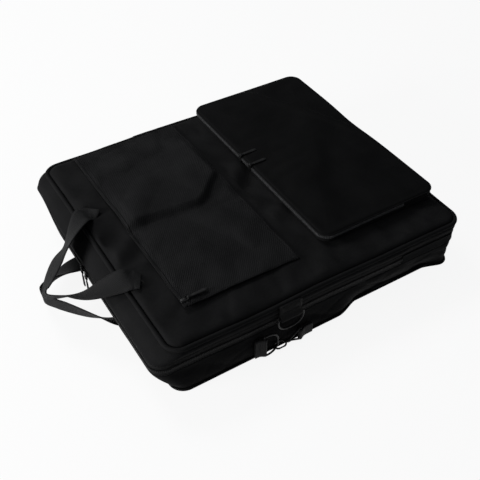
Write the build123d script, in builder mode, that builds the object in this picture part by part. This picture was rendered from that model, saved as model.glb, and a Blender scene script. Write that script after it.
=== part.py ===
from build123d import *
import os

# Soft portfolio case for drawings, lying on its back panel.
# Frame: +Z up, +X from the handle edge to the base edge, +Y from the side with the
# clipped strap end to the other side. Origin: centre of the back panel, on the floor.

# ---------------------------------------------------------------- driving sizes (mm)
case_length = 520.0
case_width = 472.0
corner_radius = 40.0
back_thickness = 4.0
gusset_thickness = 3.0
zip_band_base = 54.0
zip_height = 65.0
zip_band_top = 76.0
mouth_bulge = 32.0
side_bulge = 2.0
front_underside = 91.0
front_thickness = 10.0
front_edge_radius = 5.0
zip_end_from_base = 114.0

board_thickness = 3.0
board_inset = 8.0
piping_radius = 2.0
meeting_gap = 0.15
running_gap = 0.3
cut_margin = 1.0

chain_depth = 1.6
chain_height = 2.4

webbing_width = 38.0
webbing_thickness = 2.4
handle_spacing = 150.0
front_handle_reach = 116.0
front_handle_droop = 26.0
back_handle_reach = 102.0
back_handle_rise = 14.0
handle_end_radius = 78.0
anchor_length = 18.0
front_hinge_inset = 0.1
back_hinge_outset = 2.3
back_hinge_lift = 2.6

flat_pocket_length = 196.0
flat_pocket_mouth = -212.0
flat_pocket_near = -182.0
flat_pocket_far_margin = 8.0
flat_pocket_gap = 5.0
pocket_cloth = 1.6
flat_zip_width = 8.0
flat_zip_thickness = 0.8
flat_slider_from_end = 12.0

box_left = 31.0
box_near = -177.0
box_margin = 4.0
box_corner_radius = 26.0
box_wall_height = 14.2
box_wall_thickness = 2.5
box_lid_height = 5.7
box_lid_thickness = 2.7
box_lid_edge_radius = 2.6
box_zip_end = 66.0
box_tape_thickness = 0.8
box_tape_height = 4.0
box_upper_tape_height = 2.0
box_slider_near_y = 31.0
box_slider_far_y = 62.0

slider_width = 9.0
slider_length = 10.5
slider_thickness = 3.0
ear_thickness = 1.3
pull_pin_radius = 0.8
pull_eye_radius = 1.9
pull_thickness = 1.4
pull_length = 32.0
main_slider_offset = 8.0

ring_wire = 1.6
ring_depth = 24.0
ring_corner = 3.0
ring_bow = 18.0
ring_side_gap = 1.6
ring_floor_gap = 0.2
front_tab_x = -72.0
front_tab_drop = 27.0
back_tab_x = -117.5
back_tab_length = 16.0

hook_z = 12.0
hook_wire = 1.4
hook_half_width = 6.0
hook_length = 19.7
hook_neck_length = 2.0
hook_neck_radius = 2.6
gate_wire = 1.2
eye_wire = 1.5
eye_length = 19.5
eye_width = 27.0
eye_corner = 1.2
eye_neck_length = 1.0
eye_floor_gap = 0.5
collar_length = 3.2
collar_radius = 3.2
swivel_pin_radius = 1.3
strap_web_width = 16.0
strap_web_length = 24.0

band_width = 38.0
band_thickness = 1.5
band_offset = 120.0

# ---------------------------------------------------------------- worked-out levels
half_width = case_width / 2
base_x = case_length / 2
back_outline = (-base_x, base_x, half_width, corner_radius)
zip_outline = (-base_x - mouth_bulge, base_x + side_bulge, half_width + side_bulge,
               corner_radius + side_bulge)
front_outline = (-base_x - board_thickness, base_x, half_width, corner_radius)
front_top = front_underside + front_thickness
zip_end_x = base_x - zip_end_from_base
piping_reach = half_width + 2 * piping_radius
box_right = base_x - box_margin
box_far = half_width - front_edge_radius
box_outline = (box_left, box_right, box_near, box_far)
box_seam = front_top + box_wall_height
box_lid_base = box_seam + 2 * meeting_gap
box_lid_top = box_lid_base + box_lid_height
box_zip_end_x = box_right - box_zip_end
flat_pocket_seam = flat_pocket_mouth + flat_pocket_length
flat_pocket_far = half_width - flat_pocket_far_margin
flat_pocket_base = front_top + flat_pocket_gap
flat_pocket_top = flat_pocket_base + pocket_cloth
double_webbing = 2 * webbing_thickness
tab_inner = piping_reach + meeting_gap
tab_loop_radius = ring_wire + running_gap + webbing_thickness
ring_plane_y = tab_inner + tab_loop_radius
ring_half = webbing_width / 2 + ring_side_gap + ring_wire
ring_centre_z = ring_half + ring_wire + ring_floor_gap
pin_offset = slider_length / 2 + pull_eye_radius + running_gap
low_pin = slider_thickness / 2
high_pin = slider_thickness + running_gap + pull_thickness / 2

os.makedirs("parts", exist_ok=True)


def finish(builder, name):
    """Label one finished piece and write it."""
    builder.part.label = name
    export_step(builder.part, f"parts/{name}.step")


def inset(outline, amount):
    """The same outline drawn in by an amount on every side."""
    left, right, half, radius = outline
    return (left + amount, right - amount, half - amount, radius - amount)


def draw_outline(outline):
    """Rounded rectangle of a case outline, inside a sketch."""
    left, right, half, radius = outline
    with Locations(((left + right) / 2, 0)):
        RectangleRounded(right - left, 2 * half, radius)


def draw_box_outline(amount):
    """Rounded rectangle of the box pocket drawn in by an amount, inside a sketch."""
    left, right, near, far = box_outline
    with Locations(((left + right) / 2, (near + far) / 2)):
        RectangleRounded(right - left - 2 * amount, far - near - 2 * amount,
                         box_corner_radius - amount)


def block(low, high, mode=Mode.ADD):
    """Box between two corners."""
    centre = [(a + b) / 2 for a, b in zip(low, high)]
    with Locations(tuple(centre)):
        Box(high[0] - low[0], high[1] - low[1], high[2] - low[2], mode=mode)


def start_plane(wire):
    """Plane square to a wire at its start."""
    return Plane(origin=wire @ 0, z_dir=wire % 0)


def flat_panel(name, base, thickness, outline, edge_radius=0.0):
    """Flat panel with its top edge rounded over."""
    with BuildPart() as panel:
        with BuildSketch(Plane.XY.offset(base)):
            draw_outline(outline)
        extrude(amount=thickness)
        if edge_radius:
            fillet(panel.edges().group_by(Axis.Z)[-1], edge_radius)
    finish(panel, name)


def sloping_wall(name, base, base_outline, top, top_outline):
    """Ring wall whose outline changes from its base to its top."""
    with BuildPart() as wall:
        with BuildSketch(Plane.XY.offset(base)):
            draw_outline(base_outline)
        with BuildSketch(Plane.XY.offset(top)):
            draw_outline(top_outline)
        loft(ruled=True)
        with BuildSketch(Plane.XY.offset(base)):
            draw_outline(inset(base_outline, gusset_thickness))
        with BuildSketch(Plane.XY.offset(top)):
            draw_outline(inset(top_outline, gusset_thickness))
        loft(ruled=True, mode=Mode.SUBTRACT)
    finish(wall, name)


def straight_wall(name, base, top):
    """Upright ring wall along the zip outline."""
    with BuildPart() as wall:
        with BuildSketch(Plane.XY.offset(base)):
            draw_outline(zip_outline)
            with BuildSketch(Plane.XY.offset(base), mode=Mode.SUBTRACT):
                draw_outline(inset(zip_outline, gusset_thickness))
        extrude(amount=top - base)
    finish(wall, name)


def main_chain(name, base, top):
    """Half-chain on the outside of its band, ending short of the base edge."""
    with BuildPart() as chain:
        with BuildSketch(Plane.XY.offset(base)):
            draw_outline(inset(zip_outline, -chain_depth))
            with BuildSketch(Plane.XY.offset(base), mode=Mode.SUBTRACT):
                draw_outline(zip_outline)
        extrude(amount=top - base)
        block((zip_end_x, -case_width, base - cut_margin),
              (case_length, case_width, top + cut_margin), mode=Mode.SUBTRACT)
    finish(chain, name)


def seam_piping(name, outline, height):
    """Round piping that lies against a panel's edge."""
    left, right, half, radius = inset(outline, -piping_radius)
    with BuildPart() as piping:
        with BuildLine(Plane.XY.offset(height)) as path:
            Line((right, 0), (right, half - radius))
            RadiusArc((right, half - radius), (right - radius, half), -radius)
            Line((right - radius, half), (left + radius, half))
            RadiusArc((left + radius, half), (left, half - radius), -radius)
            Line((left, half - radius), (left, radius - half))
            RadiusArc((left, radius - half), (left + radius, -half), -radius)
            Line((left + radius, -half), (right - radius, -half))
            RadiusArc((right - radius, -half), (right, radius - half), -radius)
            Line((right, radius - half), (right, 0))
        with BuildSketch(start_plane(path.wires()[0])):
            Circle(piping_radius)
        sweep(path=path.wires()[0])
    finish(piping, name)


def carry_handle(name, root, angle, reach):
    """U of webbing; its two roots lie on a hinge line along Y. Angle is above level."""
    plane = Plane(origin=root, x_dir=(0, 1, 0),
                  z_dir=Vector(0, 0, 1).rotate(Axis.Y, angle))
    outer = handle_spacing + webbing_width
    inner = handle_spacing - webbing_width
    with BuildPart() as handle:
        with BuildSketch(plane):
            with Locations((0, reach / 2)):
                Rectangle(outer, reach)
            fillet(vertices().group_by(Axis.Y)[-1], handle_end_radius)
            with BuildSketch(plane, mode=Mode.SUBTRACT):
                with Locations((0, (reach - webbing_width) / 2)):
                    Rectangle(inner, reach - webbing_width)
                fillet(vertices().group_by(Axis.Y)[-1],
                       handle_end_radius - webbing_width)
        extrude(amount=webbing_thickness / 2, both=True)
        for side in (-1, 1):
            hem = Plane(origin=plane.from_local_coords((side * handle_spacing / 2, 0, 0)),
                        x_dir=(1, 0, 0), z_dir=(0, 1, 0))
            with BuildSketch(hem):
                Circle(webbing_thickness / 2)
            extrude(amount=webbing_width / 2, both=True)
    finish(handle, name)


def zip_slider(name, place, pin_height):
    """Slider body on its back face, with two ears and a pin beyond its +Y end."""
    ear_reach = pull_eye_radius - running_gap
    ear_top = max(slider_thickness, pin_height + ear_reach)
    with BuildPart(place) as slider:
        block((-slider_width / 2, -slider_length / 2, 0),
              (slider_width / 2, slider_length / 2, slider_thickness))
        for side in (-1, 1):
            ear_x = side * (slider_width - ear_thickness) / 2
            block((ear_x - ear_thickness / 2, slider_length / 2, 0),
                  (ear_x + ear_thickness / 2, pin_offset + ear_reach, ear_top))
        with Locations((0, pin_offset, pin_height)):
            Cylinder(pull_pin_radius, slider_width, rotation=(0, 90, 0))
    finish(slider, name)


def zip_pull(name, place):
    """Pull with its eye round the pin at the origin; it reaches along +Y."""
    eye_width_across = slider_width - 2 * ear_thickness - 2 * meeting_gap
    with BuildPart(place) as pull:
        Cylinder(pull_eye_radius, eye_width_across, rotation=(0, 90, 0))
        block((-eye_width_across / 2, 0, -pull_thickness / 2),
              (eye_width_across / 2, pull_length, pull_thickness / 2))
        Cylinder(pull_pin_radius + running_gap, 2 * eye_width_across, rotation=(0, 90, 0),
                 mode=Mode.SUBTRACT)
    finish(pull, name)


def slider_place(centre, slide_dir, face_dir):
    """Plane of a slider whose pull end points along face_dir x slide_dir."""
    return Plane(origin=centre, x_dir=slide_dir, z_dir=face_dir)


def d_ring(name, place):
    """Wire ring: straight bar along local X, bow towards local -Y."""
    with BuildPart() as ring:
        with BuildLine(place) as path:
            FilletPolyline((ring_half, 0), (ring_half, -ring_depth),
                           (-ring_half, -ring_depth), (-ring_half, 0), close=True,
                           radius=[ring_corner, ring_bow, ring_bow, ring_corner])
        with BuildSketch(start_plane(path.wires()[0])):
            Circle(ring_wire)
        sweep(path=path.wires()[0])
    finish(ring, name)


def front_tab(name, side):
    """Webbing tab that hangs from the front seam, with a loop for a ring's bar."""
    top = front_underside + 2 * piping_radius
    axis_z = top - front_tab_drop
    with BuildPart() as tab:
        with BuildSketch(Plane.YZ.offset(front_tab_x)):
            with Locations((side * (tab_inner + double_webbing / 2), (top + axis_z) / 2)):
                Rectangle(double_webbing, top - axis_z)
            with Locations((side * ring_plane_y, axis_z)):
                Circle(tab_loop_radius)
                Circle(ring_wire + running_gap, mode=Mode.SUBTRACT)
        extrude(amount=webbing_width / 2, both=True)
    finish(tab, name)


def back_tab(name, side):
    """Webbing tab along the back seam, with an upright loop for a ring's bar."""
    low = ring_centre_z - webbing_width / 2
    high = ring_centre_z + webbing_width / 2
    outer = tab_inner + double_webbing
    with BuildPart() as tab:
        with BuildSketch(Plane.XY.offset(low)):
            with Locations((back_tab_x - back_tab_length / 2,
                            side * (tab_inner + outer) / 2)):
                Rectangle(back_tab_length, double_webbing)
            with Locations((back_tab_x, side * ring_plane_y)):
                Circle(tab_loop_radius)
                Circle(ring_wire + running_gap, mode=Mode.SUBTRACT)
        extrude(amount=high - low)
        foot_end = back_tab_x - tab_loop_radius - running_gap
        near, far = sorted((side * tab_inner, side * outer))
        block((back_tab_x - back_tab_length, near, webbing_thickness / 2),
              (foot_end, far, low + cut_margin))
    finish(tab, name)


# ---------------------------------------------------------------- case body
flat_panel("back_panel", 0, back_thickness, back_outline)
flat_panel("back_board", back_thickness, board_thickness, inset(back_outline, board_inset))
seam_piping("back_piping", back_outline, piping_radius)
sloping_wall("lower_gusset", back_thickness, back_outline, zip_band_base, zip_outline)
straight_wall("lower_zip_band", zip_band_base, zip_height - meeting_gap)
main_chain("lower_zip_chain", zip_height - meeting_gap - chain_height,
           zip_height - meeting_gap)

band_base = back_thickness + board_thickness
band_end = half_width - board_inset - running_gap
for number, band_x in ((1, -band_offset), (2, band_offset)):
    with BuildPart() as retaining_band:
        block((band_x - band_width / 2, -band_end, band_base),
              (band_x + band_width / 2, band_end, band_base + band_thickness))
    finish(retaining_band, f"retaining_band_{number}")

# ---------------------------------------------------------------- front cover
flat_panel("front_panel", front_underside, front_thickness, front_outline,
           front_edge_radius)
flat_panel("front_board", front_underside - board_thickness, board_thickness,
           inset(front_outline, board_inset))
seam_piping("front_piping", front_outline, front_underside + piping_radius)
sloping_wall("upper_gusset", zip_band_top, zip_outline, front_underside, front_outline)
straight_wall("upper_zip_band", zip_height + meeting_gap, zip_band_top)
main_chain("upper_zip_chain", zip_height + meeting_gap,
           zip_height + meeting_gap + chain_height)

# ---------------------------------------------------------------- flat pocket
with BuildPart() as flat_pocket_gusset:
    block((flat_pocket_mouth, flat_pocket_near, front_top),
          (flat_pocket_seam, flat_pocket_far, flat_pocket_base))
    block((flat_pocket_mouth - cut_margin, flat_pocket_near + pocket_cloth, front_top),
          (flat_pocket_seam - pocket_cloth, flat_pocket_far - pocket_cloth,
           flat_pocket_base), mode=Mode.SUBTRACT)
finish(flat_pocket_gusset, "flat_pocket_gusset")

with BuildPart() as flat_pocket:
    block((flat_pocket_mouth, flat_pocket_near, flat_pocket_base),
          (flat_pocket_seam, flat_pocket_far, flat_pocket_top))
finish(flat_pocket, "flat_pocket")

with BuildPart() as flat_pocket_zip:
    block((flat_pocket_mouth, flat_pocket_near, flat_pocket_top),
          (flat_pocket_mouth + flat_zip_width, flat_pocket_far,
           flat_pocket_top + flat_zip_thickness))
finish(flat_pocket_zip, "flat_pocket_zip")

flat_slider_y = flat_pocket_near + flat_slider_from_end
flat_slider_base = flat_pocket_top + flat_zip_thickness + running_gap
flat_slider_x = flat_pocket_mouth + flat_zip_width / 2
zip_slider("flat_pocket_slider",
           slider_place((flat_slider_x, flat_slider_y, flat_slider_base),
                        (0, -1, 0), (0, 0, 1)), high_pin)
zip_pull("flat_pocket_pull",
         Plane(origin=(flat_slider_x + pin_offset, flat_slider_y,
                       flat_slider_base + high_pin),
               x_dir=(0, -1, 0), z_dir=(0, 0, 1)))

# ---------------------------------------------------------------- box pocket
with BuildPart() as box_pocket_wall:
    with BuildSketch(Plane.XY.offset(front_top)):
        draw_box_outline(0)
        with BuildSketch(Plane.XY.offset(front_top), mode=Mode.SUBTRACT):
            draw_box_outline(box_wall_thickness)
    extrude(amount=box_wall_height)
finish(box_pocket_wall, "box_pocket_wall")

with BuildPart() as box_pocket_lid:
    with BuildSketch(Plane.XY.offset(box_lid_base)):
        draw_box_outline(0)
    extrude(amount=box_lid_height)
    fillet(box_pocket_lid.edges().group_by(Axis.Z)[-1], box_lid_edge_radius)
    with BuildSketch(Plane.XY.offset(box_lid_base)):
        draw_box_outline(box_wall_thickness)
    extrude(amount=box_lid_height - box_lid_thickness, mode=Mode.SUBTRACT)
finish(box_pocket_lid, "box_pocket_lid")

tape_levels = {"box_zip_lower": (box_seam - box_tape_height, box_seam),
               "box_zip_upper": (box_lid_base, box_lid_base + box_upper_tape_height)}
for name, (low, high) in tape_levels.items():
    with BuildPart() as box_tape:
        with BuildSketch(Plane.XY.offset(low)):
            draw_box_outline(-box_tape_thickness)
            with BuildSketch(Plane.XY.offset(low), mode=Mode.SUBTRACT):
                draw_box_outline(0)
        extrude(amount=high - low)
        block((box_zip_end_x, -case_width, low - cut_margin),
              (case_length, case_width, high + cut_margin), mode=Mode.SUBTRACT)
    finish(box_tape, name)

box_pin_z = box_lid_top + pull_thickness / 2 + 2 * running_gap
box_slider_z = box_pin_z - pin_offset
box_slider_x = box_left - box_tape_thickness - running_gap
for side, slider_y in (("near", box_slider_near_y), ("far", box_slider_far_y)):
    zip_slider(f"box_slider_{side}",
               slider_place((box_slider_x, slider_y, box_slider_z), (0, -1, 0), (-1, 0, 0)),
               low_pin)
    zip_pull(f"box_pull_{side}",
             Plane(origin=(box_slider_x - low_pin, slider_y, box_pin_z),
                   x_dir=(0, -1, 0), z_dir=(0, 0, 1)))

# ---------------------------------------------------------------- main zip sliders
main_slider_x = -base_x - mouth_bulge - chain_depth - running_gap
for side, slider_y in (("near", -main_slider_offset), ("far", main_slider_offset)):
    zip_slider(f"main_slider_{side}",
               slider_place((main_slider_x, slider_y, zip_height), (0, 1, 0), (-1, 0, 0)),
               low_pin)
    zip_pull(f"main_pull_{side}",
             Plane(origin=(main_slider_x - low_pin, slider_y,
                           zip_height - pin_offset),
                   x_dir=(0, 1, 0), z_dir=(-1, 0, 0)))

# ---------------------------------------------------------------- carry handles
front_hinge_x = -base_x + front_hinge_inset
front_hinge_z = front_top + 1.5 * webbing_thickness
anchor_end = front_hinge_x + webbing_thickness / 2 + running_gap
for side, sign in (("near", -1), ("far", 1)):
    strand_y = sign * handle_spacing / 2
    with BuildPart() as front_handle_anchor:
        block((anchor_end, strand_y - webbing_width / 2, front_top),
              (anchor_end + anchor_length, strand_y + webbing_width / 2,
               front_top + double_webbing))
    finish(front_handle_anchor, f"front_handle_anchor_{side}")
carry_handle("front_handle", (front_hinge_x, 0, front_hinge_z), -front_handle_droop,
             front_handle_reach)

back_hinge_x = -base_x - 2 * piping_radius - back_hinge_outset
back_hinge_z = 2 * piping_radius + back_hinge_lift
back_anchor_end = back_hinge_x + webbing_thickness / 2 + running_gap
with BuildPart() as lower_form:
    with BuildSketch(Plane.XY.offset(back_thickness)):
        draw_outline(back_outline)
    with BuildSketch(Plane.XY.offset(zip_band_base)):
        draw_outline(zip_outline)
    loft(ruled=True)
for side, sign in (("near", -1), ("far", 1)):
    strand_y = sign * handle_spacing / 2
    with BuildPart() as back_handle_anchor:
        block((back_anchor_end, strand_y - webbing_width / 2, 2 * piping_radius),
              (-base_x, strand_y + webbing_width / 2, 2 * piping_radius + double_webbing))
        add(lower_form.part, mode=Mode.SUBTRACT)
    finish(back_handle_anchor, f"back_handle_anchor_{side}")
carry_handle("back_handle", (back_hinge_x, 0, back_hinge_z), back_handle_rise,
             back_handle_reach)

# ---------------------------------------------------------------- tabs and rings
front_ring_z = front_underside + 2 * piping_radius - front_tab_drop
for side, sign in (("near", -1), ("far", 1)):
    front_tab(f"front_tab_{side}", sign)
    d_ring(f"front_ring_{side}",
           Plane(origin=(front_tab_x, sign * ring_plane_y, front_ring_z),
                 x_dir=(-sign, 0, 0), z_dir=(0, sign, 0)))
    back_tab(f"back_tab_{side}", sign)
    d_ring(f"back_ring_{side}",
           Plane(origin=(back_tab_x, sign * ring_plane_y, ring_centre_z),
                 x_dir=(0, 0, -sign), z_dir=(0, sign, 0)))

# ---------------------------------------------------------------- snap hook and strap end
bow_drop = ring_centre_z - hook_z - (ring_half - ring_bow)
ring_at_hook_x = back_tab_x + ring_depth - ring_bow + (ring_bow ** 2 - bow_drop ** 2) ** 0.5
hook_left = ring_at_hook_x - ring_wire - hook_wire - 3 * running_gap
hook_right = hook_left + hook_length
left_bend = hook_left + hook_half_width
right_bend = hook_right - hook_half_width
neck_end = hook_right + hook_wire + hook_neck_length
collar_start = neck_end + running_gap
collar_end = collar_start + collar_length
hook_plane = Plane(origin=(0, -ring_plane_y, hook_z), x_dir=(1, 0, 0), z_dir=(0, 0, 1))
neck_plane = Plane(origin=(0, -ring_plane_y, hook_z), x_dir=(0, 1, 0), z_dir=(1, 0, 0))

with BuildPart() as snap_hook:
    with BuildLine(hook_plane) as hook_path:
        RadiusArc((right_bend, -hook_half_width), (right_bend, hook_half_width),
                  -hook_half_width)
        Line((right_bend, hook_half_width), (left_bend, hook_half_width))
        RadiusArc((left_bend, hook_half_width), (left_bend, -hook_half_width),
                  -hook_half_width)
    with BuildSketch(start_plane(hook_path.wires()[0])):
        Circle(hook_wire)
    sweep(path=hook_path.wires()[0])
    with BuildSketch(neck_plane.offset(hook_right)):
        Circle(hook_neck_radius)
    extrude(amount=neck_end - hook_right)
    with BuildSketch(neck_plane.offset(neck_end)):
        Circle(swivel_pin_radius)
    extrude(amount=collar_length + running_gap)
finish(snap_hook, "snap_hook")

with BuildPart() as snap_gate:
    with BuildSketch(Plane(origin=(left_bend + running_gap, -ring_plane_y - hook_half_width,
                                   hook_z), x_dir=(0, 1, 0), z_dir=(1, 0, 0))):
        Circle(gate_wire)
    extrude(amount=right_bend - left_bend - 2 * running_gap)
finish(snap_gate, "snap_gate")

eye_apex = collar_end + eye_neck_length
eye_bar = eye_apex + eye_length
eye_low = eye_wire + eye_floor_gap
eye_plane = Plane(origin=(0, -ring_plane_y, 0), x_dir=(1, 0, 0), z_dir=(0, -1, 0))
with BuildPart() as snap_eye:
    with BuildLine(eye_plane) as eye_path:
        FilletPolyline((eye_bar, eye_low + eye_width), (eye_apex, hook_z + eye_wire),
                       (eye_apex, hook_z - eye_wire), (eye_bar, eye_low), close=True,
                       radius=eye_corner)
    with BuildSketch(start_plane(eye_path.wires()[0])):
        Circle(eye_wire)
    sweep(path=eye_path.wires()[0])
    with BuildSketch(neck_plane.offset(collar_start)):
        Circle(collar_radius)
    extrude(amount=collar_length + eye_neck_length)
    with BuildSketch(neck_plane.offset(collar_start)):
        Circle(swivel_pin_radius + running_gap)
    extrude(amount=collar_length + running_gap, mode=Mode.SUBTRACT)
finish(snap_eye, "snap_eye")

web_middle = eye_low + eye_width / 2
web_loop_radius = eye_wire + running_gap + webbing_thickness
web_outer = tab_inner + double_webbing
with BuildPart() as strap_end_web:
    with BuildSketch(Plane.XY.offset(web_middle - strap_web_width / 2)):
        with Locations((eye_bar, -ring_plane_y)):
            Circle(web_loop_radius)
        with Locations((eye_bar + strap_web_length / 2, -(tab_inner + web_outer) / 2)):
            Rectangle(strap_web_length, double_webbing)
        with Locations((eye_bar, -ring_plane_y)):
            Circle(eye_wire + running_gap, mode=Mode.SUBTRACT)
    extrude(amount=strap_web_width)
    foot_start = eye_bar + web_loop_radius
    block((foot_start, -web_outer, webbing_thickness / 2),
          (eye_bar + strap_web_length, -tab_inner, web_middle))
finish(strap_end_web, "strap_end_web")
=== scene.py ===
import math
import bpy
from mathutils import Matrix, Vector, noise


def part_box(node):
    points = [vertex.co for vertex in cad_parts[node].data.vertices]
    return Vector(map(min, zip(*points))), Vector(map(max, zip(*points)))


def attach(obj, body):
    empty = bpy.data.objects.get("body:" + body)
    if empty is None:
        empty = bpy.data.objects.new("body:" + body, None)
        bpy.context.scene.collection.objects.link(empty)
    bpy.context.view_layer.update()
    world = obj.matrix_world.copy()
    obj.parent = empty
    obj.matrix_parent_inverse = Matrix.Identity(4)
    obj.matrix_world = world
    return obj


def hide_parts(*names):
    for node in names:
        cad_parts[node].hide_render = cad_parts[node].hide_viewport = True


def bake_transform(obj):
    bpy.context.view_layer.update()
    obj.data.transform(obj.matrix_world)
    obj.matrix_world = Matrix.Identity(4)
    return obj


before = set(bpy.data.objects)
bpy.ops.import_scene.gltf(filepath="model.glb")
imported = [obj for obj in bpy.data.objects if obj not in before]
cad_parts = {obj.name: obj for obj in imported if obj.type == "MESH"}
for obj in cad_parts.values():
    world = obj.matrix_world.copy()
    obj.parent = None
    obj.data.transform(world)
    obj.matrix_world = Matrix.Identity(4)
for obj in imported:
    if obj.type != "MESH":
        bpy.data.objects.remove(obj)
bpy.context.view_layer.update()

# Portfolio case lying on its back. All lengths are metres, in the CAD frame: +X towards
# the base edge, -Y the near side with the clipped strap end, +Z out of the front cover.

MM = 0.001


# ---- places from the frame
def size(node):
    """Lowest corner, highest corner of a CAD node."""
    low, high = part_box(node)
    return Vector(low), Vector(high)


back_low, back_high = size("back_panel")
zip_low, zip_high = size("lower_zip_band")
cover_zip_low, cover_zip_high = size("upper_zip_band")
front_low, front_high = size("front_panel")
pocket_low, pocket_high = size("flat_pocket")
box_low, box_high = size("box_pocket_wall")
lid_low, lid_high = size("box_pocket_lid")

CORNER = 22 * MM                        # tighter than the CAD's, as in the photograph
BOX_CORNER = 19 * MM
CORNER_STEPS = 12
SIDE_STEP = 4 * MM
CLOTH = 2.2 * MM
WEBBING = 38 * MM
WEBBING_THICK = 2.4 * MM
FLOOR_GAP = 0.4 * MM

BACK = (back_low.x, back_high.x, back_low.y, back_high.y, CORNER)
ZIP = (zip_low.x, zip_high.x, zip_low.y, zip_high.y, CORNER + 2 * MM)
FRONT = (front_low.x, front_high.x, front_low.y, front_high.y, CORNER)
BOX = (box_low.x, box_high.x, box_low.y, box_high.y, BOX_CORNER)
zip_end_x = size("lower_zip_chain")[1].x
box_zip_end_x = size("box_zip_lower")[1].x


# ---- small helpers
def smooth(a, b, x):
    """0 at a, 1 at b, smooth between and level beyond them."""
    t = min(max((x - a) / (b - a), 0.0), 1.0)
    return t * t * (3 - 2 * t)


def bump(x, centre, width):
    """Bell of height 1 about a centre."""
    return math.exp(-((x - centre) / width) ** 2)


def rough(x, y, z, scale, seed=0.0):
    """Smooth noise from -1 to 1, with features about scale metres apart."""
    return noise.noise(Vector((x / scale + seed, y / scale - seed, z / scale + 2 * seed)))


def crease(x, y, z, scale, seed=0.0):
    """Sharp folds: 1 along a fold line, falling to 0 away from it."""
    return max(0.0, 1 - 3.2 * abs(rough(x, y, z, scale, seed))) ** 1.5


def make_object(name, verts, faces, material, body, flat=False):
    """Mesh object with one material, riding on a body when one is named."""
    mesh = bpy.data.meshes.new(name)
    mesh.from_pydata([tuple(v) for v in verts], [], faces)
    mesh.validate()
    mesh.update()
    if not flat:
        mesh.polygons.foreach_set("use_smooth", [True] * len(mesh.polygons))
    piece = bpy.data.objects.new(name, mesh)
    bpy.context.scene.collection.objects.link(piece)
    mesh.materials.append(material)
    if body:
        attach(piece, body)
    return piece


def dressed(piece, slot, *nodes):
    """Hides the CAD nodes that a piece stands for; slot is not used."""
    if nodes:
        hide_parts(*nodes)
    return piece


def grid_faces(rows, columns, wrap_columns=False, wrap_rows=False, start=0):
    """Quads over a grid of vertices stored row by row."""
    faces = []
    for r in range(rows if wrap_rows else rows - 1):
        below = start + r * columns
        above = start + ((r + 1) % rows) * columns
        for c in range(columns if wrap_columns else columns - 1):
            d = (c + 1) % columns
            faces.append((below + c, below + d, above + d, above + c))
    return faces


def outline_points(outline, grow=0.0):
    """Points and outward normals round a rounded rectangle, from the middle of +X, to +Y.

    Every outline of the case gets the same count, so that rows match."""
    left, right, low, high, radius = outline
    steps_y = int((back_high.y - back_low.y) / SIDE_STEP)
    steps_x = int((back_high.x - back_low.x) / SIDE_STEP)
    corners = [(right - radius, high - radius, 0), (left + radius, high - radius, 90),
               (left + radius, low + radius, 180), (right - radius, low + radius, 270)]
    points = []
    for i, (cx, cy, angle) in enumerate(corners):
        for k in range(CORNER_STEPS):
            a = math.radians(angle + 90 * k / CORNER_STEPS)
            n = Vector((math.cos(a), math.sin(a), 0))
            points.append((Vector((cx, cy, 0)) + n * (radius + grow), n))
        a = math.radians(angle + 90)
        n = Vector((math.cos(a), math.sin(a), 0))
        nx, ny, _ = corners[(i + 1) % 4]
        start = Vector((cx, cy, 0)) + n * (radius + grow)
        end = Vector((nx, ny, 0)) + n * (radius + grow)
        steps = steps_x if i % 2 == 0 else steps_y
        for k in range(steps):
            points.append((start.lerp(end, k / steps), n))
    return points


FOOT_TUCK = 14 * MM                     # near side's foot, drawn in under the tabs
CORNER_TUCK = Vector((11, -9, 0)) * MM  # far handle corner's foot
WALL_WAVE = 3.0 * MM
EDGE_WAVE = 1.6 * MM


def settle(p):
    """How the soft case sits: the same small shift for every piece at that place."""
    x, y, z = p
    edge = smooth(0.20, 0.24, abs(y)) + smooth(0.22, 0.27, abs(x)) * 0.7
    side = -1.0 if y < 0 else 1.0
    shift = Vector((0, 0, 0))
    low = 1 - smooth(0.0, 45 * MM, z)
    foot = smooth(25 * MM, 75 * MM, x) * (1 - smooth(200 * MM, 258 * MM, x))
    if y < -0.15:
        shift.y += FOOT_TUCK * foot * low * smooth(0.15, 0.23, -y)
    tuck = smooth(-0.17, -0.255, x) * smooth(0.10, 0.235, y) * (1 - smooth(55 * MM, 92 * MM, z))
    shift += CORNER_TUCK * tuck * smooth(0.0, 12 * MM, z)
    wave = rough(x, side, 0.4, 0.17, 3.1) * smooth(8 * MM, 30 * MM, z)
    shift.y += side * smooth(0.20, 0.235, abs(y)) * wave * WALL_WAVE
    end = -1.0 if x < 0 else 1.0
    wave = rough(end, y, 0.7, 0.19, 5.7) * smooth(8 * MM, 30 * MM, z)
    if x > 0:
        wave = -abs(wave) * 0.8 * smooth(10 * MM, 30 * MM, abs(z - zip_high.z))
    shift.x += end * smooth(0.23, 0.262, abs(x)) * wave * WALL_WAVE
    shift.z += edge * rough(x, y, 0.2, 0.15, 8.3) * EDGE_WAVE * smooth(20 * MM, 60 * MM, z)
    return Vector(p) + shift


def square_to(along, least):
    """Two directions square to a path and to each other, the first one level."""
    across = along.cross(Vector((0, 0, 1)))
    if across.length < least:
        across = along.cross(Vector((0, 1, 0)))
    across.normalize()
    return across, across.cross(along)


def end_caps(faces, rings, sides):
    """Closes the two ends of a tube stored ring by ring."""
    faces.append(tuple(range(sides - 1, -1, -1)))
    faces.append(tuple((rings - 1) * sides + k for k in range(sides)))


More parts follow.
